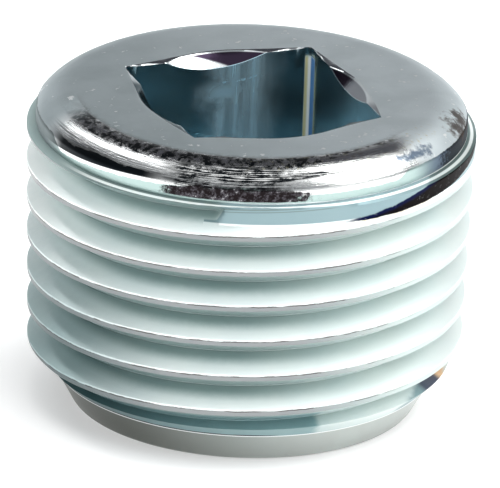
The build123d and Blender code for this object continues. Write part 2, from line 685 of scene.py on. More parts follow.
class Graph:
    """The nodes of one material or world."""

    def __init__(self, tree: bpy.types.NodeTree) -> None:
        """Args:
            tree: Node tree, emptied first.
        """
        self.tree = tree
        tree.nodes.clear()

    def node(self, kind: str, settings: dict | None = None,
             inputs: dict | None = None) -> bpy.types.Node:
        """Adds a node.

        Args:
            kind: Its Blender type.
            settings: Its properties, by name.
            inputs: Values or wires for its sockets, by name or number.

        Returns:
            The node.
        """
        made = self.tree.nodes.new(kind)
        for name, value in (settings or {}).items():
            setattr(made, name, value)
        for name, value in (inputs or {}).items():
            self.plug(made.inputs[name], value)
        return made

    def plug(self, socket: bpy.types.NodeSocket, value: object) -> None:
        """Links a wire to a socket, or sets the socket's value.

        Args:
            socket: Input of a node.
            value: Wire or value; a colour of three numbers gets its alpha.
        """
        if isinstance(value, Wire):
            self.tree.links.new(value.socket, socket)
        elif socket.type == "RGBA" and len(value) == 3:
            socket.default_value = (*value, 1.0)
        else:
            socket.default_value = value

    def wire(self, node: bpy.types.Node, output: str | int = 0) -> Wire:
        """One output of a node as a wire."""
        return Wire(self, node.outputs[output])

    def end(self, shader: str, output: str, inputs: dict) -> None:
        """Adds the last shader, with its inputs, and the output node that it feeds."""
        last = self.node(shader, None, inputs)
        self.node(output, None, {"Surface": self.wire(last)})

    def maths(self, operation: str, *values: "Wire | float") -> Wire:
        """A Math node on the values given."""
        inputs = dict(enumerate(values))
        return self.wire(self.node("ShaderNodeMath", {"operation": operation}, inputs))

    def most(self, *values: "Wire | float") -> Wire:
        """The largest of the values."""
        return reduce(lambda one, other: self.maths("MAXIMUM", one, other), values)

    def smooth(self, value: Wire, off: float, on: float) -> Wire:
        """An eased step.

        Args:
            value: What it reads.
            off: Where it is still 0.
            on: Where it is 1, above or below the first.

        Returns:
            The step, from 0 to 1.
        """
        settings = {"interpolation_type": "SMOOTHSTEP"}
        inputs = {"Value": value, "From Min": min(off, on), "From Max": max(off, on)}
        if off >= on:
            inputs.update({"To Min": 1.0, "To Max": 0.0})
        return self.wire(self.node("ShaderNodeMapRange", settings, inputs))

    def band(self, value: Wire, low: float, high: float, edge: float) -> Wire:
        """1 between two values, with an eased edge outside each."""
        return self.smooth(value, low - edge, low) * self.smooth(value, high + edge, high)

    def mix(self, share: "Wire | float", first: object, second: object, way: str = "MIX") -> Wire:
        """Mixes two colours.

        Args:
            share: How much of the second one.
            first: Colour or wire.
            second: Colour or wire.
            way: Blend type.

        Returns:
            The mixed colour.
        """
        settings = {"data_type": "RGBA", "blend_type": way, "clamp_factor": True}
        return self.wire(self.node("ShaderNodeMix", settings, {0: share, 6: first, 7: second}), 2)

    def layers(self, base: object, *coats: tuple) -> object:
        """Lays coats of colour over each other.

        Args:
            base: Colour or wire at the bottom.
            coats: Pairs of a share and a colour or wire, the lowest one first.

        Returns:
            The mixed colour.
        """
        return reduce(lambda below, coat: self.mix(coat[0], below, coat[1]), coats, base)

    def vector(self, operation: str, *values: object, output: int = 0,
               scale: float | None = None) -> Wire:
        """A Vector Math node.

        Args:
            operation: What it does.
            values: Its vectors.
            output: Which output to use, 1 for a number.
            scale: Factor, for the operation that takes one.

        Returns:
            The output.
        """
        inputs = dict(enumerate(values))
        if scale is not None:
            inputs["Scale"] = scale
        return self.wire(self.node("ShaderNodeVectorMath", {"operation": operation}, inputs), output)

    def noise(self, place: Wire, scale: float, detail: float, roughness: float = 0.55) -> Wire:
        """Fractal noise from about 0.2 to 0.8 round a middle of 0.5."""
        inputs = {"Vector": place, "Scale": scale, "Detail": detail, "Roughness": roughness}
        return self.wire(self.node("ShaderNodeTexNoise", None, inputs))


class SurfaceGraph(Graph):
    """A material's nodes, with the plug's own coordinates worked out in millimetres."""

    BACK: Step = (172.0, 115.0)

    def __init__(self, material: bpy.types.Material) -> None:
        """Args:
            material: Material to fill.
        """
        material.use_nodes = True
        super().__init__(material.node_tree)
        place = self.wire(self.node("ShaderNodeTexCoord"), "Object")
        self.place = self.vector("SCALE", place, scale=1 / MM)
        parts = self.node("ShaderNodeSeparateXYZ", None, {0: self.place})
        self.x, self.y, self.z = (self.wire(parts, k) for k in range(3))
        self.radius = (self.x * self.x + self.y * self.y) ** 0.5

    @cached_property
    def turn(self) -> Wire:
        """Angle about the axis from FRONT."""
        return self.angle_from(FRONT)

    def angle_from(self, angle: float) -> Wire:
        """Angle about the axis from the given one to a point.

        Args:
            angle: Where to count from, in degrees.

        Returns:
            Signed angle in degrees, up to 180.
        """
        turn = math.radians(angle)
        ahead = self.x * math.sin(turn) - self.y * math.cos(turn)
        aside = self.x * math.cos(turn) + self.y * math.sin(turn)
        return self.maths("ARCTAN2", aside, ahead) * DEGREES

    def right_of(self, turn: Wire, off: float, on: float) -> Wire:
        """Eased from 0 to 1 between two angles, and back to 0 behind the plug."""
        return self.smooth(turn, off, on) * self.smooth(turn, *self.BACK)

    def left_of(self, turn: Wire, off: float, on: float) -> Wire:
        """Eased from 0 to 1 between two angles, leftwards, and back to 0 behind the plug."""
        return self.smooth(turn, off, on) * self.smooth(turn, *(-angle for angle in self.BACK))

    def combined(self, x: "Wire | float", y: "Wire | float", z: "Wire | float") -> Wire:
        """A vector of three parts."""
        return self.wire(self.node("ShaderNodeCombineXYZ", None, {0: x, 1: y, 2: z}))

    def mottle(self, noise: Noise) -> Wire:
        """Noise at the surface's own place."""
        return self.noise(self.place, *noise)

    def ragged(self, size: float, noise: Noise) -> Wire:
        """Noise round 0, of the whole size given, which makes the edge of a mark ragged."""
        return (self.mottle(noise) - 0.5) * size

    def lathe_marks(self, across: Wire, around: float, pitch: float, detail: float) -> Wire:
        """Noise drawn out round the axis, like the marks of a turning tool.

        It reads a point on a circle of the given size, with the place across the marks as
        the third coordinate, so it has no seam.

        Args:
            across: Place across the marks, in millimetres.
            around: Size of that circle; the smaller, the longer the marks.
            pitch: Width of a mark in millimetres.
            detail: Octaves of the noise.

        Returns:
            The noise.
        """
        ring = self.vector("NORMALIZE", self.combined(self.x, self.y, 0.0))
        ring = self.vector("SCALE", ring, scale=around)
        place = self.vector("ADD", ring, self.combined(0.0, 0.0, across / pitch))
        return self.noise(place, 1.0, detail)

    def finish(self, colour: object, rough: object, height: Wire, relief: float,
               metallic: object = 1.0) -> None:
        """Ends the graph in a Principled shader.

        Args:
            colour: Base colour.
            rough: Roughness.
            height: Height for the bump, from 0 to 1.
            relief: Height of the bump in millimetres.
            metallic: Metallic.
        """
        bump = self.node("ShaderNodeBump", None, {"Distance": relief * MM, "Height": height})
        inputs = {"Base Color": colour, "Roughness": rough, "Metallic": metallic,
                  "Normal": self.wire(bump)}
        self.end("ShaderNodeBsdfPrincipled", "ShaderNodeOutputMaterial", inputs)


@dataclass(frozen=True)
class Finish:
    """What every finish has. Its turns are angles about the axis from FRONT."""

    name: str
    roughness: float

    def make(self) -> bpy.types.Material:
        """Makes the material.

        Returns:
            The material, with its nodes.
        """
        material = bpy.data.materials.new(self.name)
        self.paint(SurfaceGraph(material))
        return material

    def paint(self, g: SurfaceGraph) -> None:
        """Fills the material's nodes; each finish does this its own way."""
        raise NotImplementedError


@dataclass(frozen=True)
class ThreadFinish(Finish):
    """Milky zinc on the thread: pale aqua flanks, with painted shade under the crests, in the roots
    and as grey crests with ragged edges.

    Depths are counted from the crests, and places across a groove from its centre upwards.
    The lip, the burr and the blank's edge are counted from the groove's lower edge.
    """

    name: str = "zinc_thread"
    roughness: float = 0.38
    metallic: float = 0.45
    form: ThreadForm = field(default_factory=ThreadForm)
    flank: Colour = (0.90, 0.955, 0.94)
    # the flank painted darker on the right, where the light is strongest
    right_flank: Colour = (0.73, 0.79, 0.775)
    # painted shade under the crests, lighter on the right
    under: Colour = (0.30, 0.38, 0.375)
    right_under: Colour = (0.62, 0.71, 0.69)
    # painted shade in the roots, lighter on the right
    root: Colour = (0.34, 0.44, 0.43)
    right_root: Colour = (0.66, 0.74, 0.72)
    # painted shade: the sideways-facing crest flats in grey; pale_crest paints them lighter on the
    # right, where the light falls
    crest: Colour = (0.27, 0.285, 0.29)
    pale_crest: Colour = (0.55, 0.64, 0.62)
    blue: Colour = (0.25, 0.355, 0.38)
    navy: Colour = (0.004, 0.010, 0.060)
    cream: Colour = (0.90, 0.80, 0.66)
    ledge: Colour = (0.16, 0.22, 0.215)
    # painted shade: darker towards the lower left
    low_left_shade: Colour = (0.36, 0.45, 0.46)
    tint: Colour = (0.80, 0.88, 0.92)
    burr: Colour = (0.05, 0.038, 0.035)
    char: Colour = (0.006, 0.004, 0.004)
    dark_teal: Colour = (0.15, 0.25, 0.26)
    teal: Colour = (0.26, 0.39, 0.40)
    orange: Colour = (0.80, 0.55, 0.33)

    # Grooves, crests and the burr.
    upper_side: Step = (-0.05, 0.25)
    right_turn: Step = (-10.0, 42.0)
    pale_turn: Step = (10.0, 58.0)
    # where the painted shade in the roots is strongest, in front
    shade_turn: Band = (-22.0, 20.0, 55.0)
    deep_shares: Step = (0.30, 0.82)
    root_shares: Step = (0.955, 0.98)
    crest_depth: Step = (0.070, 0.030)
    edge_noise: Noise = (2.2, 5.0, 0.65)
    edge_size: float = 0.12
    lip: Band = (-0.07, 0.2, 0.02)
    burr_line: Band = (-0.115, -0.070, 0.02)
    burr_noise: Noise = (0.8, 4.0, 0.6)
    burr_gaps: Step = (0.40, 0.58)
    burr_turn: Step = (60.0, 25.0)
    burr_depth: Step = (0.12, 0.06)

    # The uncut band. The stain's foot and top are each a turn, a factor and a height.
    blank_edge: Step = (-0.02, 0.02)
    blank_depth: Step = (0.80, 0.70)
    blank_turn: Step = (-13.0, -11.0)
    blank_foot: float = 13.1
    blank_slant: float = 8.0
    blue_z: Step = (13.06, 13.12)
    run_out_drop: float = 0.4
    # painted shade: dark lines on the uncut band where the groove's root shows
    dark_lines: tuple[Band, ...] = ((13.70, 13.73, 0.02), (13.82, 13.88, 0.02))
    dark_line_turn: Band = (-6.0, 20.0, 5.0)
    dark_line_slant: float = 0.004
    stain_noise: Noise = (1.6, 4.0, 0.6)
    stain_ragged: float = 0.16
    stain_begins: Step = (23.0, 30.0)
    stain_ends: Step = (98.0, 78.0)
    stain_foot: tuple[float, float, float] = (33.0, 0.00024, 12.92)
    stain_top: tuple[float, float, float] = (25.0, 0.0055, 13.03)
    stain_foot_edge: Step = (-0.02, 0.03)
    stain_top_edge: Step = (0.04, -0.04)
    stain_rim: Step = (-0.30, -0.04)
    speck_noise: Noise = (3.2, 4.0, 0.65)
    specks: Step = (0.58, 0.72)
    cream_line: Band = (-0.09, -0.02, 0.03)
    cream_ends: Step = (60.0, 48.0)

    # The ledge, counted from the top of the barrel, and the painted shade at the lower left.
    ledge_edge: Step = (-0.005, 0.01)
    # painted highlight: a pale line along the ledge
    ledge_highlight: Band = (0.07, 0.11, 0.02)
    ledge_blue: tuple[Step, Step] = ((-10.0, -5.0), (60.0, 50.0))
    # painted shade at the left of the ledge
    ledge_left: Step = (-40.0, -62.0)
    low_left_shade_turn: Step = (-12.0, -58.0)
    low_left_shade_z: Step = (12.0, 4.0)

    # The lead beside the nose, and the blue, navy and orange mark on its right.
    lead_noise: Noise = (1.2, 4.0, 0.6)
    lead_ragged: float = 8.0
    lead_top: Step = (2.98, 2.88)
    lead_ends: Step = (24.0, 21.0)
    # teal painted darker towards the left as shade
    teal_turn: Step = (-40.0, 20.0)
    char_edge: Step = (0.11, 0.06)
    char_turn: Band = (-70.0, 6.0, 6.0)
    spot_middle: float = 66.0
    spot_z: Band = (2.00, 2.60, 0.25)
    spot_blue: Band = (56.0, 62.0, 5.0)
    spot_navy: Band = (65.0, 71.0, 4.0)
    spot_orange: Band = (74.0, 82.0, 4.0)

    # Over all of it.
    cloud_noise: Noise = (0.35, 3.0, 0.55)
    clouds: Step = (0.35, 0.7)
    grain_noise: Noise = (14.0, 3.0, 0.55)
    tool_marks: Lathe = (3.0, 0.06, 3.0)
    relief: float = 0.004

    def of_depth(self, shares: Step) -> Step:
        """A step in shares of the thread's depth, now in millimetres."""
        return shares[0] * self.form.depth, shares[1] * self.form.depth

    def across(self, g: SurfaceGraph) -> Wire:
        """Height above the nearest groove's centre, from the helix wound back to one pitch.

        Args:
            g: The material's nodes.

        Returns:
            The height in millimetres, up to half a pitch either way.
        """
        form = self.form
        turns = g.angle_from(form.end_angle) * (1.0 / FULL_TURN)
        share = g.maths("FRACT", (g.z - form.end_z) * (1.0 / form.pitch) - turns + 0.5) - 0.5
        return share * form.pitch

    def blank_share(self, g: SurfaceGraph) -> Wire:
        """The uncut band between the last crest and the ledge, which narrows over a turn.

        Args:
            g: The material's nodes.

        Returns:
            1 on the band.
        """
        form = self.form
        sweep = g.maths("FRACT", g.angle_from(form.end_angle) * (1.0 / FULL_TURN))
        above = g.z - form.end_z - sweep * form.pitch
        return g.smooth(above, *moved(-form.half_mouth, *self.blank_edge))

    def flank_colour(self, g: SurfaceGraph, depth: Wire, upper: Wire, rough_edge: Wire) -> Wire:
        """The groove: pale, with painted shade on its down-facing flank and towards its root,
        strongest in front; on the right the flank is painted darker and the shade lighter.

        Args:
            g: The material's nodes.
            depth: Depth below the crests.
            upper: 1 on the upper half of the groove.
            rough_edge: Noise for the edges of marks.

        Returns:
            The colour.
        """
        # painted shade in the roots, strongest in front, lighter on the right
        painted_shade = g.band(g.turn, *self.shade_turn)
        deep = g.smooth(depth + rough_edge + (painted_shade - 1.0) * 0.45, *self.of_depth(self.deep_shares))
        right = g.right_of(g.turn, *self.right_turn)
        under = g.mix(right, self.under, self.right_under)
        return g.layers(
            g.mix(right, self.flank, self.right_flank),
            (upper, under),
            (deep * (painted_shade * 0.3 + 0.7), g.mix(right, self.root, self.right_root)),
            (g.smooth(depth, *self.of_depth(self.root_shares)), under),
        )

    def blank_colour(self, g: SurfaceGraph, depth: Wire) -> tuple[Wire, Wire]:
        """The uncut band: pale blue over a white lower edge, with dark lines of painted shade and a
        dark stain on the right.

        The stain's foot curves with the squared angle from a turn, and its top rises from
        another by the angle's 3/2 power.

        Args:
            g: The material's nodes.
            depth: Depth below the crests, which drops the marks into the run-out.

        Returns:
            The colour, and the share under the stain.
        """
        z = g.z + g.ragged(self.stain_ragged, self.stain_noise)
        dropped = g.z + depth * self.run_out_drop
        # painted shade: dark lines where the groove's root shows
        slanted = dropped - g.turn * self.dark_line_slant
        on_dark_lines = g.most(*(g.band(slanted, *score) for score in self.dark_lines))
        middle, bend, height = self.stain_foot
        lower = (g.turn - middle) * abs(g.turn - middle) * bend + height
        start, rise, height = self.stain_top
        upper = g.most(g.turn - start, 0.0) ** 1.5 * rise + height
        on_right = g.smooth(g.turn, *self.stain_begins) * g.smooth(g.turn, *self.stain_ends)
        stain = g.smooth(z - lower, *self.stain_foot_edge) * g.smooth(z - upper, *self.stain_top_edge)
        stain = stain * on_right
        shade = g.layers(
            self.char,
            (g.smooth(z - upper, *self.stain_rim), self.navy),
            (g.smooth(g.mottle(self.speck_noise), *self.specks) * 0.35, self.crest),
        )
        cream = g.band(g.z - lower, *self.cream_line) * on_right * g.smooth(g.turn, *self.cream_ends)
        colour = g.layers(
            self.flank,
            (g.smooth(dropped, *self.blue_z), self.blue),
            (on_dark_lines * g.band(g.turn, *self.dark_line_turn) * 0.85, self.ledge),
            (cream, self.cream),
            (stain, shade),
        )
        return colour, stain

    def lead_colour(self, g: SurfaceGraph, colour: Wire) -> Wire:
        """Adds teal on the lead beside the nose, painted darker towards the left as shade, and a blue,
        navy and orange mark on its right.

        Args:
            g: The material's nodes.
            colour: Colour so far.

        Returns:
            The colour.
        """
        form = self.form
        ragged = g.ragged(self.lead_ragged, self.lead_noise)
        near = g.turn + ragged * 0.4
        # teal painted darker towards the left as shade
        teal = g.mix(g.smooth(g.turn + ragged, *self.teal_turn), self.dark_teal, self.teal)
        below_crest = g.z - g.turn * (form.pitch / FULL_TURN)
        char = g.smooth(g.z + ragged * 0.012, *moved(form.nose_z, *self.char_edge))
        heat = g.band(g.z - (g.turn - self.spot_middle) * 0.04 + ragged * 0.04, *self.spot_z)
        return g.layers(
            colour,
            (g.smooth(below_crest, *self.lead_top) * g.left_of(near, *self.lead_ends), teal),
            (char * g.band(g.turn + ragged, *self.char_turn) * 0.9, self.char),
            (heat * g.band(near, *self.spot_blue), self.blue),
            (heat * g.band(near, *self.spot_orange), self.orange),
            (heat * g.band(near, *self.spot_navy) * 0.9, self.navy),
        )

    def ledge_colour(self, g: SurfaceGraph) -> Wire:
        """The ledge: dark, blue in the middle, with painted shade at the left and a pale line round it
        as a painted highlight.

        Args:
            g: The material's nodes.

        Returns:
            The colour.
        """
        begins, ends = self.ledge_blue
        # painted shade at the left, and the pale line as a painted highlight
        left = g.left_of(g.turn, *self.ledge_left)
        line = g.band(g.z, *moved(self.form.top_z, *self.ledge_highlight))
        return g.layers(
            self.ledge,
            (g.smooth(g.turn, *begins) * g.smooth(g.turn, *ends), self.blue),
            (left, self.root),
            (line * (1.0 - left), self.flank),
        )

    def paint(self, g: SurfaceGraph) -> None:
        """Lays the groove, the lead, the crests, the uncut band, the burr and the ledge.

        Args:
            g: The material's nodes.
        """
        form = self.form
        depth = g.z * form.radius_taper + form.foot_major_radius - g.radius
        across = self.across(g)
        rough_edge = g.ragged(self.edge_size, self.edge_noise)
        upper = g.smooth(across, *self.upper_side)
        # painted shade: the grey crest flats, with ragged edges, lighter on the right
        wear_and_painted_light = g.smooth(depth + rough_edge * upper - (1.0 - upper) * 0.02, *self.crest_depth)
        blank = self.blank_share(g)
        lip = g.band(across + rough_edge * 0.5, *moved(-form.half_mouth, *self.lip))
        slanted = g.turn - (g.z - self.blank_foot) * self.blank_slant
        blank_on = blank * g.smooth(depth, *self.blank_depth) * g.right_of(slanted, *self.blank_turn)
        band, stain = self.blank_colour(g, depth)
        burr = g.band(across + rough_edge * 0.8, *moved(-form.half_mouth, *self.burr_line))
        broken = g.smooth(g.mottle(self.burr_noise), *self.burr_gaps)
        broken = broken * g.left_of(g.turn, *self.burr_turn)
        colour = g.layers(
            self.lead_colour(g, self.flank_colour(g, depth, upper, rough_edge)),
            (wear_and_painted_light * (1.0 - blank) * (1.0 - lip),
             g.mix(g.right_of(g.turn, *self.pale_turn), self.crest, self.pale_crest)),
            (blank_on, band),
            (burr * broken * g.smooth(depth, *self.burr_depth) * 0.8, self.burr),
            (g.smooth(g.z, *moved(form.top_z, *self.ledge_edge)), self.ledge_colour(g)),
        )
        # painted shade: darker towards the lower left
        low_left_shade = g.smooth(g.z + rough_edge * 9.0, *self.low_left_shade_z)
        low_left_shade = g.left_of(g.turn, *self.low_left_shade_turn) * low_left_shade
        colour = g.mix(low_left_shade, colour, self.low_left_shade, "MULTIPLY")
        cloud = g.mottle(self.cloud_noise)
        colour = g.mix(g.smooth(cloud, *self.clouds) * 0.25, colour, self.tint, "MULTIPLY")
        height = g.mottle(self.grain_noise) * 0.4 + g.lathe_marks(g.z, *self.tool_marks)
        rough = cloud * 0.12 + (self.roughness - 0.06) + blank_on * stain * 0.25
        metallic = blank_on * stain * (1.0 - self.metallic) + self.metallic
        g.finish(colour, rough, height, self.relief, metallic)


@dataclass(frozen=True)
class TopFinish(Finish):
    """Dull grey flat top with fine bright specks, darker towards the marks round it."""

    name: str = "zinc_top"
    roughness: float = 0.5
    form: CrownForm = field(default_factory=CrownForm)
    metal: Colour = (0.76, 0.83, 0.86)
    darker_grey: Colour = (0.46, 0.53, 0.55)
    nick: Colour = (0.92, 0.95, 0.96)
    soot: Colour = (0.02, 0.024, 0.026)
    cloud_noise: Noise = (0.5, 4.0, 0.55)
    clouds: Step = (0.3, 0.75)
    darker_x: Step = (6.0, -5.0)
    nick_noise: Noise = (2.0, 5.0, 0.62)
    nicks: Step = (0.640, 0.668)
    soot_noise: Noise = (2.6, 6.0, 0.72)
    soot_gaps: Step = (0.66, 0.48)
    soot_edge: Step = (-0.35, 0.25)
    soot_turn: Band = (-66.0, 46.0, 20.0)
    grain_noise: Noise = (9.0, 4.0, 0.55)
    relief: float = 0.006

    def colour(self, g: SurfaceGraph) -> Wire:
        """The grey, darker to the left and in random clouds, with its specks.

        Args:
            g: The material's nodes.

        Returns:
            The colour.
        """
        cloud = g.mottle(self.cloud_noise)
        left = g.smooth(g.x + cloud * 4.0, *self.darker_x)
        nicks = g.smooth(g.mottle(self.nick_noise), *self.nicks)
        darker_grey = g.smooth(cloud, *self.clouds) * 0.3 + left * 0.6
        return g.layers(self.metal, (darker_grey, self.darker_grey), (nicks, self.nick))

    def paint(self, g: SurfaceGraph) -> None:
        """Lays the grey, with soot at its edge.

        Args:
            g: The material's nodes.
        """
        blots = g.mottle(self.soot_noise)
        edge = g.radius - self.form.flat_radius + (blots - 0.5) * 1.2
        marked = g.smooth(edge, *self.soot_edge) * g.band(g.turn, *self.soot_turn)
        colour = g.mix(marked * g.smooth(blots, *self.soot_gaps) * 0.75, self.colour(g), self.soot)
        g.finish(colour, self.roughness, g.mottle(self.grain_noise), self.relief)


@dataclass(frozen=True)
class CrownFinish(Finish):
    """Bright turned shoulder with long tool marks, dark mottled marks that are partly handling marks
    and partly painted dark reflection, and on its side a patch of painted dark reflection and painted
    highlights.

    Its patterns are laid out by the turn and by the tilt of the shoulder's surface, which is
    0 at the flat top and 70 at the foot of the side.
    """

    name: str = "zinc_crown"
    roughness: float = 0.12
    form: CrownForm = field(default_factory=CrownForm)
    top: TopFinish = field(default_factory=TopFinish)
    light: Colour = (0.93, 0.95, 0.95)
    dark: Colour = (0.009, 0.012, 0.015)
    brown: Colour = (0.014, 0.011, 0.012)
    violet: Colour = (0.075, 0.070, 0.080)
    yellow: Colour = (0.62, 0.60, 0.46)
    side: Colour = (0.42, 0.54, 0.52)
    slate: Colour = (0.15, 0.20, 0.27)
    rust: Colour = (0.07, 0.048, 0.038)
    pewter: Colour = (0.24, 0.28, 0.29)

    fine_marks: Lathe = (9.0, 1.5, 5.0)
    long_marks: Lathe = (5.0, 1.2, 5.0)
    wander_marks: Lathe = (3.0, 9.0, 3.0)
    score_marks: Lathe = (3.5, 1.3, 2.0)
    mark_noise: Noise = (2.6, 6.0, 0.72)
    fine_noise: Noise = (4.2, 6.0, 0.72)
    relief: float = 0.010

    # Dark marks: partly handling marks and partly painted dark reflection.
    wander: float = 16.0
    jitter: float = 8.0
    ring_tilt: Step = (-5.0, 3.0)
    ring_width: float = 7.0
    ring_growth: float = 16.0
    ring_grows: Step = (38.0, 12.0)
    ring_end: Step = (3.0, -3.0)
    ring_gaps: Step = (0.60, 0.46)
    ring_turn: Band = (-70.0, 48.0, 18.0)
    middle_turn: Band = (-18.0, 6.0, 9.0)
    middle_tilt: Step = (18.0, 24.0)
    middle_gaps: Step = (0.54, 0.495)
    tail_end: float = 28.0
    tail_tilt: float = 34.0
    tail_edge: Step = (-1.5, 1.5)
    tail_turn: Step = (2.0, 8.0)
    dark_line_turn: Band = (-66.0, -14.0, 8.0)
    score_tilt: Band = (35.0, 50.0, 3.0)
    score_gaps: Step = (0.54, 0.42)
    marks_end: Step = (56.0, 53.0)
    # painted dark reflection: a black band along the lip at the left
    dark_reflection_turn: Band = (-60.0, -30.0, 12.0)
    dark_reflection_tilt: Step = (42.0, 46.0)
    dark_reflection_edge: Step = (0.6, -0.6)
    dark_reflection_end: float = 47.5
    dark_reflection_fall: float = 0.2

    # The side, and the satin metal round the back.
    side_tilt: float = 50.5
    side_edge: Step = (-0.6, 0.8)
    # the lip is painted white where highlights fall, lowering the side there
    white_from: float = 46.5
    white_drop: float = 8.5
    white_left: Band = (-60.0, -14.0, 7.0)
    white_right: Band = (10.0, 42.0, 6.0)
    side_noise: Noise = (3.0, 4.0, 0.6)
    side_ragged: float = 4.0
    slate_turn: Step = (47.0, 62.0)
    pewter_turn: Step = (-54.0, -70.0)
    soot_begins: Step = (58.0, 66.0)
    soot_ends: Step = (100.0, 84.0)
    satin_left: Step = (-60.0, -74.0)
    satin_right: Step = (46.0, 58.0)

    # The patch of painted dark reflection on the side, from one turn to another, and how far its foot
    # spreads at each; the blots, each with the turn and tilt of its middle and its half sizes; and
    # yellow fuzz.
    side_reflection_noise: Noise = (1.7, 7.0, 0.80)
    side_reflection_ragged: float = 30.0
    side_reflection_turns: Step = (14.0, 8.0)
    side_reflection_spreads: Step = (9.0, 8.0)
    side_reflection_low: Step = (51.0, 58.0)
    side_reflection_left: Step = (-1.2, 1.2)
    side_reflection_right: Step = (1.8, -1.8)
    side_reflection_top: Step = (46.0, 54.0)
    side_reflection_foot: Step = (67.5, 66.0)
    violet_spots: Step = (0.46, 0.60)
    light_spots: Step = (0.61, 0.67)
    blot_noise: Noise = (1.5, 6.0, 0.7)
    blot_ragged: float = 3.0
    blot_edge: Step = (-0.9, -0.3)
    slate_blot: tuple[Step, Step] = ((52.0, 36.0), (9.0, 12.0))
    rust_blot: tuple[Step, Step] = ((80.0, 40.0), (11.0, 22.0))
    fuzz_tilt: Band = (2.0, 26.0, 4.0)
    fuzz_turn: Band = (4.0, 62.0, 10.0)
    fuzz_spots: Step = (0.54, 0.66)
    # painted highlight: a pale line at the crown's foot on the right
    foot_z: Step = (0.09, 0.05)
    foot_turn: Step = (-10.0, -2.0)

    def tilt(self, g: SurfaceGraph) -> Wire:
        """Angle at the shoulder's own centre, from straight up towards outwards, in degrees."""
        out = g.radius - self.form.flat_radius
        return g.maths("ARCTAN2", out, g.z - (self.form.top_z - self.form.arc_radius)) * DEGREES

    def marks_and_dark_reflection(self, g: SurfaceGraph, tilt: Wire) -> Wire:
        """How much of the metal is dark, from 0 to 1: partly handling marks and partly painted dark
        reflection.

        A mottled ring lies round the flat top, then come streaks with a forked tail, fine
        turning lines and a band of painted dark reflection along the lip.

        Args:
            g: The material's nodes.
            tilt: Tilt of the surface.

        Returns:
            The share.
        """
        streaks = g.lathe_marks(tilt, *self.long_marks)
        wander = (g.lathe_marks(tilt, *self.wander_marks) - 0.5) * self.wander
        blots = g.mottle(self.mark_noise)
        at = tilt + wander + (blots - 0.5) * self.jitter
        ring_end = self.ring_width + g.smooth(g.turn, *self.ring_grows) * self.ring_growth
        ring = g.smooth(at, *self.ring_tilt) * g.smooth(at - ring_end, *self.ring_end)
        ring = ring * g.smooth(blots, *self.ring_gaps) * g.band(g.turn + wander, *self.ring_turn)
        middle = g.band(g.turn + wander, *self.middle_turn) * g.smooth(at, *self.middle_tilt)
        fork = abs(tilt + wander * 0.4 - self.tail_tilt)
        tail = g.smooth((self.tail_end - g.turn) * 0.5 - fork, *self.tail_edge)
        middle = g.most(middle, tail * g.smooth(g.turn, *self.tail_turn))
        middle = middle * g.smooth(streaks * 0.65 + blots * 0.35, *self.middle_gaps)
        dark_lines = g.band(g.turn, *self.dark_line_turn) * g.band(tilt, *self.score_tilt)
        dark_lines = dark_lines * g.smooth(g.lathe_marks(tilt, *self.score_marks), *self.score_gaps)
        # painted dark reflection: the black band along the lip
        dark_reflection_band = g.band(g.turn, *self.dark_reflection_turn) * g.smooth(at, *self.dark_reflection_tilt)
        dark_reflection_band = dark_reflection_band * g.smooth(tilt - self.dark_reflection_foot(g), *self.dark_reflection_edge)
        marks = g.most(middle, dark_lines * 0.75, ring) * g.smooth(tilt, *self.marks_end)
        return g.most(marks, dark_reflection_band)

    def dark_reflection_foot(self, g: SurfaceGraph) -> Wire:
        """Tilt where the band of painted dark reflection ends, which falls away to the left."""
        return self.dark_reflection_end - g.turn * self.dark_reflection_fall

    def side_share(self, g: SurfaceGraph, tilt: Wire) -> Wire:
        """The greenish side, which starts lower where the lip is painted white under the highlights.

        Args:
            g: The material's nodes.
            tilt: Tilt of the surface.

        Returns:
            1 on the side.
        """
        # painted highlight: the lip stays white where highlights fall
        left = g.band(g.turn, *self.white_left) * (self.dark_reflection_foot(g) - self.white_from)
        right = g.band(g.turn, *self.white_right) * self.white_drop
        ragged = g.ragged(self.side_ragged, self.side_noise)
        return g.smooth(tilt + ragged - (left + right + self.side_tilt), *self.side_edge)

    def side_dark_reflection_share(self, g: SurfaceGraph, tilt: Wire) -> Wire:
        """The brown patch of painted dark reflection across the side, with ragged ends and foot.

        Args:
            g: The material's nodes.
            tilt: Tilt of the surface.

        Returns:
            1 on the patch.
        """
        ragged = g.ragged(self.side_reflection_ragged, self.side_reflection_noise)
        low = g.smooth(tilt, *self.side_reflection_low)
        (left, right), (left_spread, right_spread) = self.side_reflection_turns, self.side_reflection_spreads
        inside = g.smooth(g.turn + low * left_spread + left + ragged * 0.6, *self.side_reflection_left)
        inside = inside * g.smooth(g.turn - low * right_spread - right + ragged, *self.side_reflection_right)
        inside = inside * g.smooth(tilt + ragged * 0.6, *self.side_reflection_top)
        return inside * g.smooth(tilt + ragged * 0.1, *self.side_reflection_foot)

    def blot(self, g: SurfaceGraph, tilt: Wire, middle: Step, size: Step) -> Wire:
        """A ragged blot: an oval in turn and tilt, worn away by noise.

        Args:
            g: The material's nodes.
            tilt: Tilt of the surface.
            middle: Turn and tilt of its middle.
            size: Half sizes of the oval.

        Returns:
            1 on the blot.
        """
        across = (g.turn - middle[0]) * (1.0 / size[0])
        along = (tilt - middle[1]) * (1.0 / size[1])
        reach = (across * across + along * along) ** 0.5
        return g.smooth(g.ragged(self.blot_ragged, self.blot_noise) - reach, *self.blot_edge)

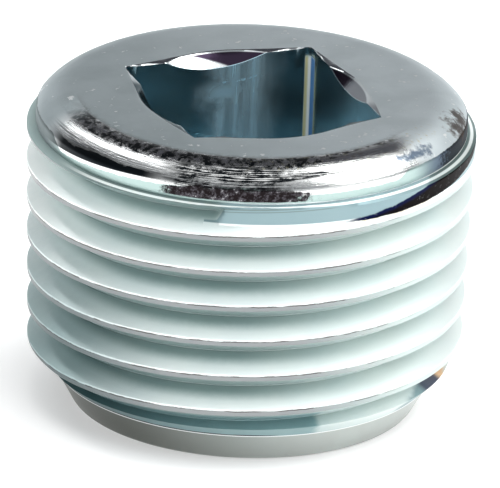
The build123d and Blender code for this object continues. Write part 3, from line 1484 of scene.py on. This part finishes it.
    def paint(self, g: SurfaceGraph) -> None:
        """Lays the side's greys, the dark marks and painted dark reflection, the satin back, the
        blots, the patch of painted dark reflection and the painted highlight at the foot.

        Args:
            g: The material's nodes.
        """
        tilt = self.tilt(g)
        blots = g.mottle(self.fine_noise)
        side = self.side_share(g, tilt)
        soot = g.smooth(g.turn + (blots - 0.5) * 30.0, *self.soot_begins)
        soot = soot * g.smooth(g.turn, *self.soot_ends)
        # dark marks, partly painted dark reflection
        dark = self.marks_and_dark_reflection(g, tilt)
        satin = g.smooth(g.turn, *self.satin_left) + g.smooth(g.turn, *self.satin_right)
        # mottled brown of the painted dark reflection on the side
        reflection_brown = g.layers(
            self.brown,
            (g.smooth(blots, *self.violet_spots), self.violet),
            (g.smooth(blots, *self.light_spots) * 0.45, self.light),
        )
        fuzz = g.band(tilt, *self.fuzz_tilt) * g.band(g.turn, *self.fuzz_turn)
        foot = g.smooth(g.z, *moved(self.form.ledge_z, *self.foot_z))
        colour = g.layers(
            self.light,
            (side, self.side),
            (side * g.right_of(g.turn, *self.slate_turn), self.slate),
            (side * g.left_of(g.turn, *self.pewter_turn), self.pewter),
            (side * soot * 0.9, self.dark),
            (dark, self.dark),
            (satin * (1.0 - side), self.top.colour(g)),
            (self.blot(g, tilt, *self.slate_blot), self.slate),
            (self.blot(g, tilt, *self.rust_blot) * 0.9, self.rust),
            # painted dark reflection on the side
            (self.side_dark_reflection_share(g, tilt), reflection_brown),
            (fuzz * g.smooth(blots, *self.fuzz_spots) * 0.6, self.yellow),
            # painted highlight along the foot
            (foot * g.right_of(g.turn, *self.foot_turn), self.light),
        )
        rough = self.roughness + dark * 0.25 + side * 0.2 + satin * 0.38
        height = g.lathe_marks(tilt, *self.fine_marks) + blots * 0.5
        g.finish(colour, rough, height, self.relief)


@dataclass(frozen=True)
class SocketFinish(Finish):
    """Dark blue-green plating in the socket, smooth from the broach, with painted highlights on the
    countersink and a corner and a painted reflection on the back wall.
    """

    name: str = "zinc_socket"
    roughness: float = 0.14
    form: DriveSocket = field(default_factory=DriveSocket)
    metal: Colour = (0.58, 0.73, 0.78)
    deep: Colour = (0.46, 0.60, 0.66)
    # painted highlight on the countersink and its rim
    pale: Colour = (0.75, 0.80, 0.82)
    # dark colour of the lenses on the countersink
    lens_dark: Colour = (0.035, 0.025, 0.045)
    dim: Colour = (0.06, 0.10, 0.12)
    # grey on the satin part of the countersink
    wear_and_painted_light: Colour = (0.34, 0.36, 0.39)
    # painted reflection on the back wall
    wall_reflection: Colour = (0.16, 0.46, 0.64)
    # painted highlight down one corner
    corner_highlight: Colour = (0.92, 0.95, 0.92)
    yellow: Colour = (0.72, 0.66, 0.34)
    blue: Colour = (0.05, 0.22, 0.55)

    # The corner's painted highlight.
    corner_at: float = 135.0
    corner_arc: Band = (-10.0, 10.0, 2.0)
    corner_radius: Step = (6.56, 6.62)
    corner_z: Step = (15.3, 15.0)
    blue_side: Step = (-0.25, -1.1)
    yellow_side: Step = (0.25, 1.1)
    fringe_side: Step = (0.0, -0.45)
    fringe_radius: Step = (6.34, 6.46)

    # Painted reflection on the back wall: a hazy stripe, streaks and a scrape.
    wall: Band = (-0.02, 0.01, 0.02)
    wall_reflection_noise: Noise = (0.9, 4.0, 0.6)
    streak_noise: Noise = (1.0, 4.0, 0.55)
    drawn_out: tuple[float, float, float] = (1.4, 1.4, 0.1)
    streaks: Step = (0.30, 0.72)
    stripe_x: Band = (1.5, 2.7, 1.7)
    bloom_x: Band = (1.0, 1.4, 1.7)
    bloom_z: Band = (14.2, 14.3, 0.9)
    scrape_x: Band = (0.8, 1.6, 1.6)
    scrape_z: Band = (14.36, 14.42, 0.10)
    scrape_slope: float = 0.087
    scrape_noise: Noise = (4.0, 4.0, 0.55)
    scrape_gaps: Step = (0.35, 0.6)

    # The countersink and its rim.
    cone_edge: Step = (0.01, 0.04)
    bright_at: float = 192.0
    bright_z: float = 15.5
    bright_slant: float = 40.0
    bright_begins: Step = (-2.0, 2.0)
    bright_ends: Step = (34.0, 28.0)
    back_lens_at: float = 174.0
    back_lens: Band = (-24.0, 24.0, 4.0)
    side_lens_at: float = 90.0
    side_lens: Band = (12.0, 26.0, 12.0)
    satin_arc: Band = (-36.0, 2.0, 10.0)
    rim_z: Step = (-0.10, -0.05)
    rim_at: float = 150.0
    rim_arc: Step = (96.0, 86.0)
    cloud_noise: Noise = (0.6, 3.0, 0.55)
    clouds: Step = (0.3, 0.7)
    grain_noise: Noise = (6.0, 3.0, 0.55)
    relief: float = 0.004

    def corner_line(self, g: SurfaceGraph) -> tuple[Wire, Wire]:
        """A painted highlight down one corner: white, with a yellow tinge on one side and blue on the
        other.

        Args:
            g: The material's nodes.

        Returns:
            Its colour and its share.
        """
        around = g.angle_from(self.corner_at)
        colour = g.layers(
            self.corner_highlight,
            (g.smooth(around, *self.blue_side), self.blue),
            (g.smooth(around, *self.yellow_side), self.yellow),
        )
        fringe = g.smooth(around, *self.fringe_side) * g.smooth(g.radius, *self.fringe_radius)
        share = g.most(g.smooth(g.radius, *self.corner_radius), fringe)
        return colour, share * g.smooth(g.z, *self.corner_z) * g.band(around, *self.corner_arc)

    def wall_reflection_share(self, g: SurfaceGraph) -> Wire:
        """A pale soft stripe of painted reflection down the back wall, with a bloom at its top and a
        slanted scrape.

        The stripe's streaks are noise that is drawn out along the socket.

        Args:
            g: The material's nodes.

        Returns:
            The share.
        """
        on_wall = g.band(g.y, *moved(self.form.side / 2, *self.wall))
        cloud = g.mottle(self.wall_reflection_noise)
        x, z = g.x + cloud * 1.6, g.z + cloud * 1.2
        drawn = (way * factor for way, factor in zip((g.x, g.y, g.z), self.drawn_out))
        streaks = g.noise(g.combined(*drawn), *self.streak_noise)
        stripe = g.band(x, *self.stripe_x) * (g.smooth(streaks, *self.streaks) * 0.40 + 0.16)
        bloom = g.band(x, *self.bloom_x) * g.band(z, *self.bloom_z) * 0.42
        scrape = g.band(g.z - g.x * self.scrape_slope + cloud * 0.5, *self.scrape_z)
        scrape = scrape * g.band(g.x, *self.scrape_x)
        scrape = scrape * g.smooth(g.mottle(self.scrape_noise), *self.scrape_gaps) * 0.6
        return on_wall * g.most(stripe, bloom, scrape)

    def cone_colour(self, g: SurfaceGraph, side_angle: Wire) -> Wire:
        """The countersink: dim, with a dark lens behind and one on the right.

        Args:
            g: The material's nodes.
            side_angle: Angle from the right, made ragged.

        Returns:
            The colour.
        """
        back_lens = g.band(g.angle_from(self.back_lens_at), *self.back_lens)
        return g.mix(g.most(back_lens, g.band(side_angle, *self.side_lens)), self.dim, self.lens_dark)

    def paint(self, g: SurfaceGraph) -> None:
        """Lays the walls, the countersink, the painted highlights on its rim and a corner, and the
        painted reflection.

        Args:
            g: The material's nodes.
        """
        cloud = g.mottle(self.cloud_noise)
        cone_edge = moved(self.form.side / 2, *self.cone_edge)
        cone = g.smooth(g.most(abs(g.x), abs(g.y)), *cone_edge)
        side_angle = g.angle_from(self.side_lens_at) + cloud * 8.0
        satin = cone * g.band(side_angle, *self.satin_arc)
        # painted highlight: a pale lens on the countersink, and the rim
        left = g.angle_from(self.bright_at)
        bright = g.smooth(left - (g.z - self.bright_z) * self.bright_slant, *self.bright_begins)
        bright = bright * g.smooth(left, *self.bright_ends)
        rim = g.smooth(g.z, *moved(self.form.top_z, *self.rim_z))
        rim = rim * g.smooth(abs(g.angle_from(self.rim_at)), *self.rim_arc)
        corner_colour, corner = self.corner_line(g)
        wall_reflection = self.wall_reflection_share(g)
        colour = g.layers(
            self.metal,
            (g.smooth(cloud, *self.clouds) * 0.4, self.deep),
            (cone, self.cone_colour(g, side_angle)),
            (satin, self.wear_and_painted_light),
            (g.most(cone * bright, rim), self.pale),
            (corner, corner_colour),
            (wall_reflection, self.wall_reflection),
        )
        # the painted highlights and the painted reflection are rougher and less metallic
        wear_and_painted_light = g.most(wall_reflection, corner)
        rough = wear_and_painted_light * 0.3 + satin * 0.4 + self.roughness
        g.finish(colour, rough, g.mottle(self.grain_noise), self.relief, 1.0 - wear_and_painted_light * 0.9)


@dataclass(frozen=True)
class NoseFinish(Finish):
    """Plain turned nose and foot."""

    name: str = "zinc_nose"
    roughness: float = 0.35
    form: NoseForm = field(default_factory=NoseForm)
    metal: Colour = (0.52, 0.56, 0.54)
    cloudy: Colour = (0.42, 0.43, 0.41)
    # painted shade at the left
    painted_shade_colour: Colour = (0.15, 0.16, 0.145)
    # painted highlight along the top edge
    edge: Colour = (0.95, 0.97, 0.97)
    tool_marks: Lathe = (4.0, 0.07, 4.0)
    cloud_noise: Noise = (0.4, 3.0, 0.55)
    clouds: Step = (0.35, 0.7)
    shade_turn: Step = (42.0, -42.0)
    shade_z: Step = (0.02, 0.15)
    edge_z: Step = (-0.07, -0.04)
    relief: float = 0.005

    def paint(self, g: SurfaceGraph) -> None:
        """Lays the cloudy metal, painted shade at the left and a painted highlight along the edge
        above it.

        Args:
            g: The material's nodes.
        """
        cloud = g.mottle(self.cloud_noise)
        # painted shade: darker at the left
        painted_shade = g.left_of(g.turn + cloud * 12.0, *self.shade_turn) * g.smooth(g.z, *self.shade_z)
        colour = g.layers(
            self.metal,
            (g.smooth(cloud, *self.clouds) * 0.3, self.cloudy),
            (painted_shade, self.painted_shade_colour),
            (g.smooth(g.z, *moved(self.form.nose_z, *self.edge_z)), self.edge),
        )
        g.finish(colour, self.roughness, g.lathe_marks(g.radius + g.z, *self.tool_marks), self.relief)


FINISHES = {
    Zone.NOSE: NoseFinish(),
    Zone.THREAD: ThreadFinish(),
    Zone.CROWN: CrownFinish(),
    Zone.TOP: TopFinish(),
    Zone.SOCKET: SocketFinish(),
}


@dataclass(frozen=True)
class Camera:
    """The photograph's viewpoint: a long lens from a little above, rolled slightly."""

    azimuth: float = FRONT
    elevation: float = 22.14
    roll: float = 2.08
    distance: float = 800.0
    aim_z: float = 7.74
    aim_right: float = 0.125
    scale_px: float = 20.806
    frame_px: float = 500.0
    sensor: float = 36.0
    near_m: float = 0.01
    far_m: float = 10.0

    def build(self) -> bpy.types.Object:
        """Makes the camera and hands it to the scene.

        Returns:
            The camera.
        """
        back, right = facing(self.azimuth, self.elevation)
        up = back.cross(right)
        spot = Vector((0, 0, self.aim_z)) + back * self.distance + right * self.aim_right
        roll = math.radians(self.roll)
        across = right * math.cos(roll) + up * math.sin(roll)
        over = up * math.cos(roll) - right * math.sin(roll)
        data = bpy.data.cameras.new("camera")
        data.sensor_width = self.sensor
        data.lens = self.scale_px * self.distance / self.frame_px * self.sensor
        data.clip_start, data.clip_end = self.near_m, self.far_m
        camera = linked("camera", data)
        turn = Matrix((across, over, back)).transposed().to_4x4()
        camera.matrix_world = Matrix.Translation(spot * MM) @ turn
        bpy.context.scene.camera = camera
        return camera


@dataclass(frozen=True)
class Glow:
    """A soft-edged oval of light or shade in the surround, as a soft box or a card would be.

    Its azimuth is counted from the camera's side, and its half sizes are angles.
    """

    name: str
    azimuth: float
    elevation: float
    half_width: float
    half_height: float
    colour: Colour
    roll: float = 0.0
    edge: float = 0.3

    def mask(self, g: Graph, direction: Wire) -> Wire:
        """1 inside the oval, where its two angles are small shares of its half sizes.

        Args:
            g: The world's nodes.
            direction: Direction that is looked in.

        Returns:
            The mask, eased over the edge.
        """
        ahead, level = facing(FRONT + self.azimuth, self.elevation)
        level.rotate(Matrix.Rotation(math.radians(self.roll), 3, ahead))
        depth, aside, above = (
            g.vector("DOT_PRODUCT", direction, tuple(axis), output=1)
            for axis in (ahead, level, ahead.cross(level)))
        across = g.maths("ARCTAN2", aside, depth) * (DEGREES / self.half_width)
        up = g.maths("ARCTAN2", above, depth) * (DEGREES / self.half_height)
        reach = (across * across + up * up) ** 0.5
        return g.smooth(reach, 1.0 + self.edge, 1.0 - self.edge)


@dataclass(frozen=True)
class SoftBox:
    """A square light for matt surfaces, which no polished one mirrors."""

    name: str
    azimuth: float
    elevation: float
    size: float
    strength: float
    distance: float = 600.0

    def build(self) -> bpy.types.Object:
        """Makes the light; its power is the strength times its area times pi.

        Returns:
            The light.
        """
        back, _ = facing(FRONT + self.azimuth, self.elevation)
        data = bpy.data.lights.new(self.name, "AREA")
        data.shape = "RECTANGLE"
        data.size, data.size_y = self.size * MM, self.size * MM
        data.energy = self.strength * math.pi * data.size * data.size_y
        light = linked(self.name, data)
        light.location = back * self.distance * MM
        light.rotation_mode = "QUATERNION"
        light.rotation_quaternion = back.to_track_quat("Z", "Y")
        light.visible_glossy = False
        return light


@dataclass(frozen=True)
class Studio:
    """A pale, faintly glowing floor under a dim surround with a few large soft lights."""

    floor_size: float = 3000.0
    floor_colour: Colour = (0.76, 0.76, 0.76)
    floor_roughness: float = 0.9
    floor_glow: float = 0.38
    surround: Colour = (0.36, 0.37, 0.38)
    lights: tuple[Glow, ...] = (
        Glow("right_key", 103.0, 58.0, 17.0, 24.0, (4.2, 4.2, 4.1), -56.0, 0.15),
        Glow("left_strip", -133.0, 52.0, 5.0, 26.0, (2.8, 2.8, 2.8), -22.0, 0.2),
        Glow("overhead", 180.0, 88.0, 26.0, 16.0, (1.0, 1.0, 1.0)),
        Glow("front_left_low", -48.0, 26.0, 36.0, 16.0, (1.0, 1.0, 1.0)),
        Glow("front_right_low", 55.0, 22.0, 26.0, 14.0, (1.0, 1.0, 1.0)),
    )
    shades: tuple[Glow, ...] = (
        Glow("back_horizon", 180.0, 2.0, 72.0, 22.0, (0.58, 0.60, 0.61)),
        Glow("back_card", -168.0, 50.0, 38.0, 24.0, (0.06, 0.06, 0.07)),
        Glow("left_card", -100.0, 31.0, 22.0, 10.0, (0.03, 0.035, 0.04)),
    )
    washes: tuple[SoftBox, ...] = (
        SoftBox("right_wash", 55.0, 62.0, 600.0, 3.7),
        SoftBox("left_wash", -85.0, 28.0, 500.0, 1.3),
        SoftBox("back_wash", 180.0, 60.0, 500.0, 1.3),
    )

    def floor(self) -> bpy.types.Object:
        """A wide square at the foot of the plug, in plain matt white.

        Returns:
            The floor.
        """
        half = self.floor_size / 2 * MM
        corners = [(-half, -half, 0), (half, -half, 0), (half, half, 0), (-half, half, 0)]
        mesh = bpy.data.meshes.new("floor")
        mesh.from_pydata(corners, [], [(0, 1, 2, 3)])
        material = bpy.data.materials.new("floor")
        material.use_nodes = True
        inputs = {"Base Color": self.floor_colour, "Roughness": self.floor_roughness,
                  "Specular IOR Level": 0.0, "Emission Color": self.floor_colour,
                  "Emission Strength": self.floor_glow}
        Graph(material.node_tree).end("ShaderNodeBsdfPrincipled", "ShaderNodeOutputMaterial", inputs)
        mesh.materials.append(material)
        return linked("floor", mesh)

    def surround_world(self) -> None:
        """An even surround, with the shades painted over it and the lights over both."""
        world = bpy.data.worlds.new("surround")
        world.use_nodes = True
        g = Graph(world.node_tree)
        direction = g.wire(g.node("ShaderNodeTexCoord"), "Generated")
        colour: object = self.surround
        for glow in (*self.shades, *self.lights):
            colour = g.mix(glow.mask(g, direction), colour, glow.colour)
            colour.socket.node.label = glow.name
        g.end("ShaderNodeBackground", "ShaderNodeOutputWorld", {"Color": colour, "Strength": 1.0})
        bpy.context.scene.world = world

    def build(self) -> bpy.types.Object:
        """Makes the surround, the washes and the floor.

        Returns:
            The floor, the only mesh that isn't part of the plug.
        """
        self.surround_world()
        for wash in self.washes:
            wash.build()
        bpy.context.scene.view_settings.view_transform = "Standard"
        return self.floor()


def main() -> None:
    """Loads the frame, then builds and dresses the camera, the studio and the plug."""
    logging.basicConfig(level=logging.INFO, format="%(name)s: %(message)s")
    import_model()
    Camera().build()
    log.info("camera made")
    Studio().build()
    log.info("studio made")
    plug = PlugBody().build()
    for zone in Zone:
        plug.data.materials.append(FINISHES[zone].make())
    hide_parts(NODE)
    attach(plug, "root")
    log.info("%s: %d faces", plug.name, len(plug.data.polygons))


if __name__ == "__main__":
    main()
